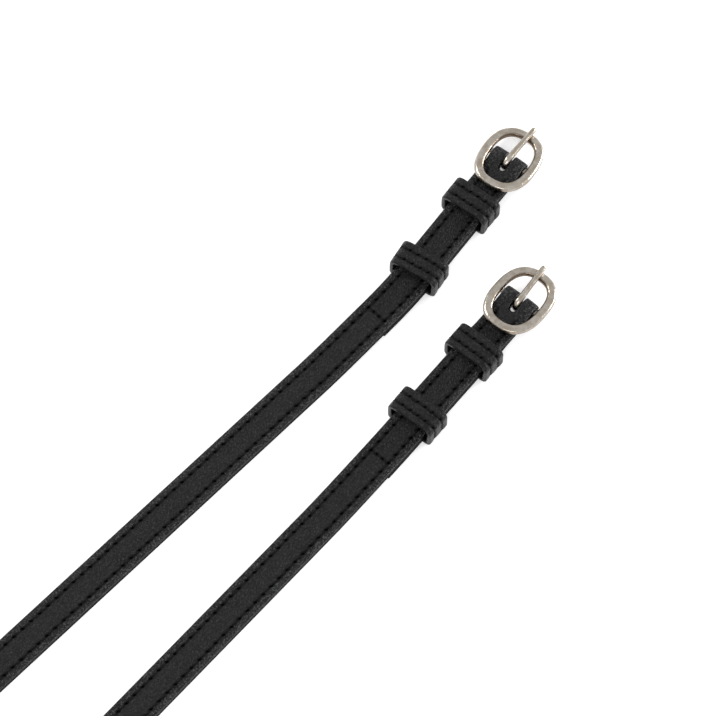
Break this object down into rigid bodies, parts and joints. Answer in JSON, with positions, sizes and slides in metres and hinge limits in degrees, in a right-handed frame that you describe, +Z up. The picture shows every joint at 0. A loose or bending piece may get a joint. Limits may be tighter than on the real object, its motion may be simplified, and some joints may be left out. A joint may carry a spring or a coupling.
{
  "type": "spur straps",
  "caption": "Pair of narrow black leather spur straps with oval centre-bar buckles, wire tongues and keeper loops.",
  "frame": {"origin": "middle of the pair's footprint, on the surface the straps lie on", "axes": "+X along the straps towards the buckles, +Y towards the left strap's side, +Z up"},
  "size_m": [0.512, 0.0646, 0.0107],
  "materials": {
    "black_leather": "semi-matt",
    "lining_leather": "matt",
    "black_thread": "waxed",
    "nickel": "satin"
  },
  "bodies": {
    "left_strap": {"left_strap_face": "black_leather", "left_strap_lining": "lining_leather", "left_far_edge_seam": "black_thread", "left_near_edge_seam": "black_thread", "left_cross_seam": "black_thread", "left_fixed_keeper": "black_leather", "left_fixed_keeper_seam_front": "black_thread", "left_fixed_keeper_seam_back": "black_thread"},
    "left_runner": {"left_runner_keeper": "black_leather", "left_runner_keeper_seam_front": "black_thread", "left_runner_keeper_seam_back": "black_thread"},
    "left_buckle": {"left_buckle_frame": "nickel"},
    "left_tongue": {"left_buckle_tongue": "nickel"},
    "right_strap": {"right_strap_face": "black_leather", "right_strap_lining": "lining_leather", "right_far_edge_seam": "black_thread", "right_near_edge_seam": "black_thread", "right_cross_seam": "black_thread", "right_fixed_keeper": "black_leather", "right_fixed_keeper_seam_front": "black_thread", "right_fixed_keeper_seam_back": "black_thread"},
    "right_runner": {"right_runner_keeper": "black_leather", "right_runner_keeper_seam_front": "black_thread", "right_runner_keeper_seam_back": "black_thread"},
    "right_buckle": {"right_buckle_frame": "nickel"},
    "right_tongue": {"right_buckle_tongue": "nickel"}
  },
  "joints": [
    {"name": "left_buckle_swing", "type": "hinge", "parent": "left_strap", "child": "left_buckle", "pos_m": [0.24091, 0.01945, 0.0033], "axis": [-0.1045, 0.9945, 0], "range_deg": [0, 90]},
    {"name": "left_tongue_swing", "type": "hinge", "parent": "left_buckle", "child": "left_tongue", "pos_m": [0.24091, 0.01945, 0.0033], "axis": [0.1045, -0.9945, 0], "range_deg": [0, 115]},
    {"name": "left_runner_slide", "type": "slide", "parent": "left_strap", "child": "left_runner", "axis": [0.9945, 0.1045, 0], "range_m": [-0.004, 0.018]},
    {"name": "right_strap_lift", "type": "slide", "parent": "left_strap", "child": "right_strap", "axis": [0, 0, 1], "range_m": [0, 0.05]},
    {"name": "right_buckle_swing", "type": "hinge", "parent": "right_strap", "child": "right_buckle", "pos_m": [0.20391, -0.01835, 0.0041], "axis": [-0.0558, 0.9984, 0], "range_deg": [0, 90]},
    {"name": "right_tongue_swing", "type": "hinge", "parent": "right_buckle", "child": "right_tongue", "pos_m": [0.20391, -0.01835, 0.0041], "axis": [0.0558, -0.9984, 0], "range_deg": [0, 115]},
    {"name": "right_runner_slide", "type": "slide", "parent": "right_strap", "child": "right_runner", "axis": [0.9984, 0.0558, 0], "range_m": [-0.004, 0.019]}
  ]
}
